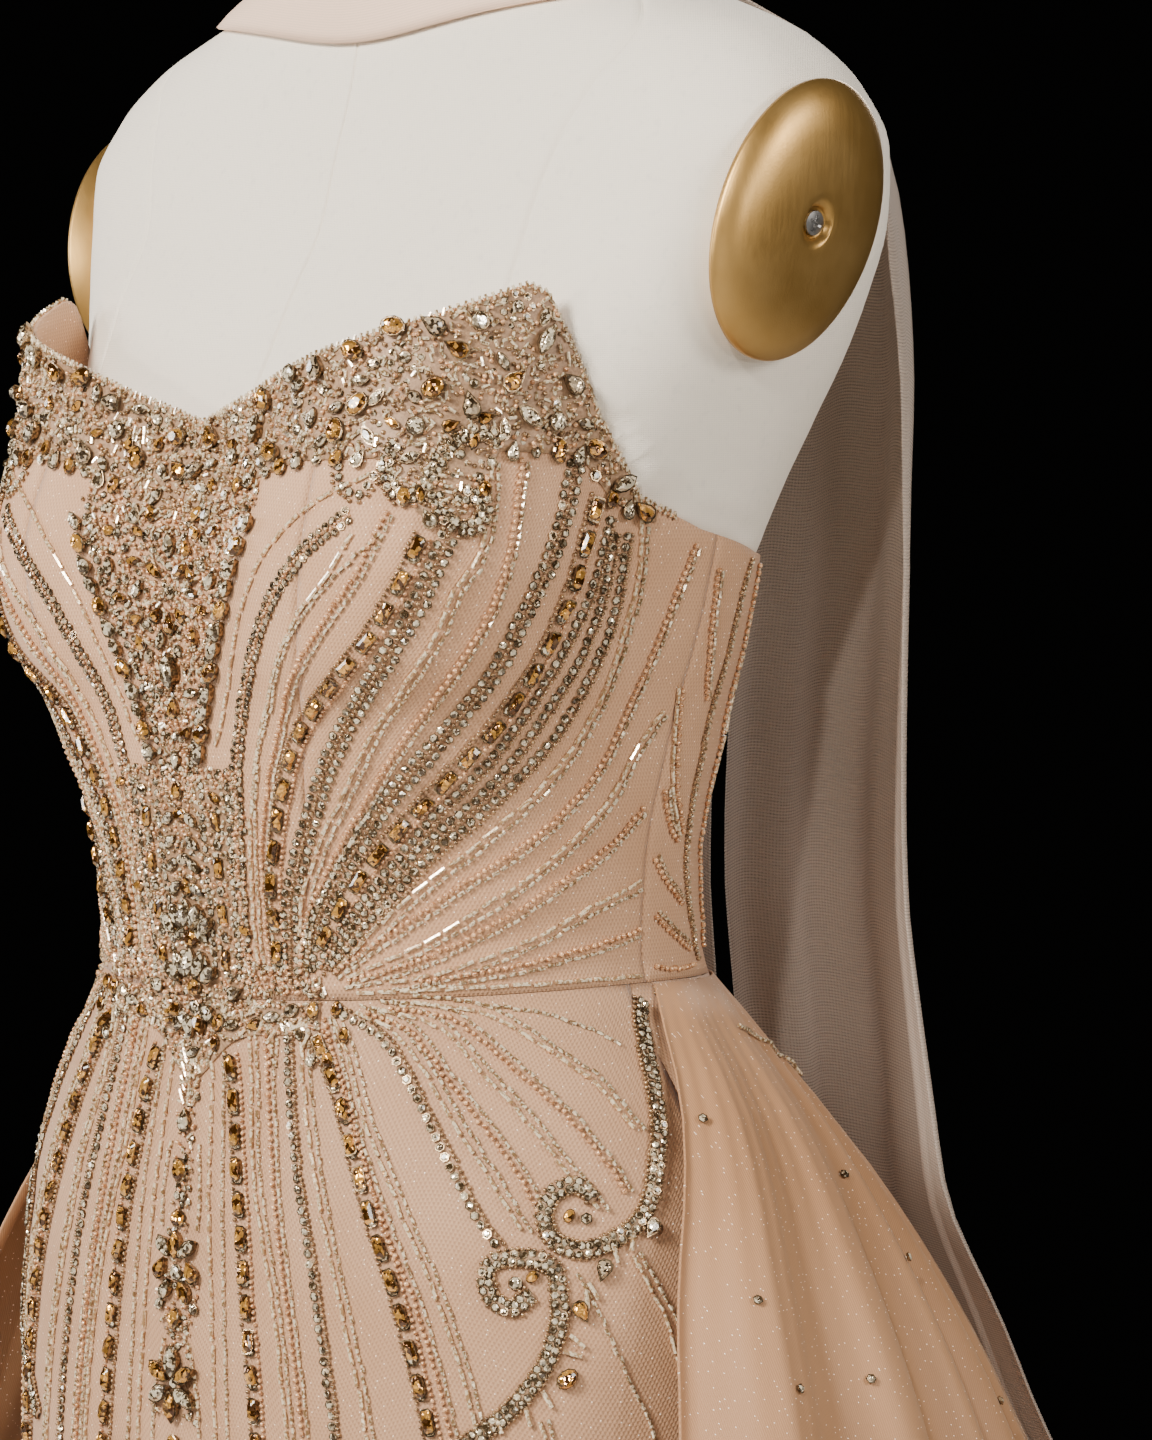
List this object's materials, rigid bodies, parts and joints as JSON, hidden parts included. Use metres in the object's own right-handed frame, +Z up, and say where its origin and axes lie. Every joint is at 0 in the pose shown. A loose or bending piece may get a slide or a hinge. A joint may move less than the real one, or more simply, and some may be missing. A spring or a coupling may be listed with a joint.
{
  "type": "strapless mermaid evening gown with overskirt and cape on a limbless dress form",
  "caption": "Beaded strapless mermaid gown with a sweetheart neckline, tulle overskirt, collar and cape, standing on a linen-covered dress form with a pole and round base.",
  "frame": {"origin": "on the floor, at the middle of the stand's base, under the middle of the waist", "axes": "+Z up, -Y towards the front of the gown, +X towards the wearer's left"},
  "size_m": [1.1492, 0.9713, 1.5953],
  "materials": {
    "gown_blush": "blush glitter tulle over a matt lining cloth",
    "gown_beading": "clear, gold and silver-lined stones and bugle beads",
    "overskirt_tulle": "soft blush tulle in layers",
    "cape_tulle": "sheer blush tulle",
    "form_linen": "off-white linen twill",
    "form_brass": "satin, brushed",
    "form_steel": "bright",
    "stand_metal": "satin black"
  },
  "bodies": {
    "root": {"arm_plate_left": "form_brass", "arm_plate_right": "form_brass", "arm_screw_left": "form_steel", "arm_screw_right": "form_steel", "back_zip": "form_steel", "bodice_back_left": "gown_blush", "bodice_back_right": "gown_blush", "bodice_centre_front": "gown_blush", "bodice_front_left": "gown_blush", "bodice_front_right": "gown_blush", "bodice_side_left": "gown_blush", "bodice_side_right": "gown_blush", "cape_left": "cape_tulle", "cape_right": "cape_tulle", "centre_beading": "gown_beading", "collar": "cape_tulle", "form_torso": "form_linen", "front_scroll_left": "gown_beading", "front_scroll_right": "gown_beading", "hip_scroll_left": "gown_beading", "hip_scroll_right": "gown_beading", "neck_cap": "form_brass", "neckline_beading_left": "gown_beading", "neckline_beading_right": "gown_beading", "overskirt_back_left": "overskirt_tulle", "overskirt_back_right": "overskirt_tulle", "overskirt_side_left": "overskirt_tulle", "overskirt_side_right": "overskirt_tulle", "skirt_back_left": "gown_blush", "skirt_back_right": "gown_blush", "skirt_front": "gown_blush", "skirt_side_left": "gown_blush", "skirt_side_right": "gown_blush", "stand_base": "stand_metal", "stand_pole": "stand_metal", "waist_beading": "gown_beading"}
  },
  "joints": []
}
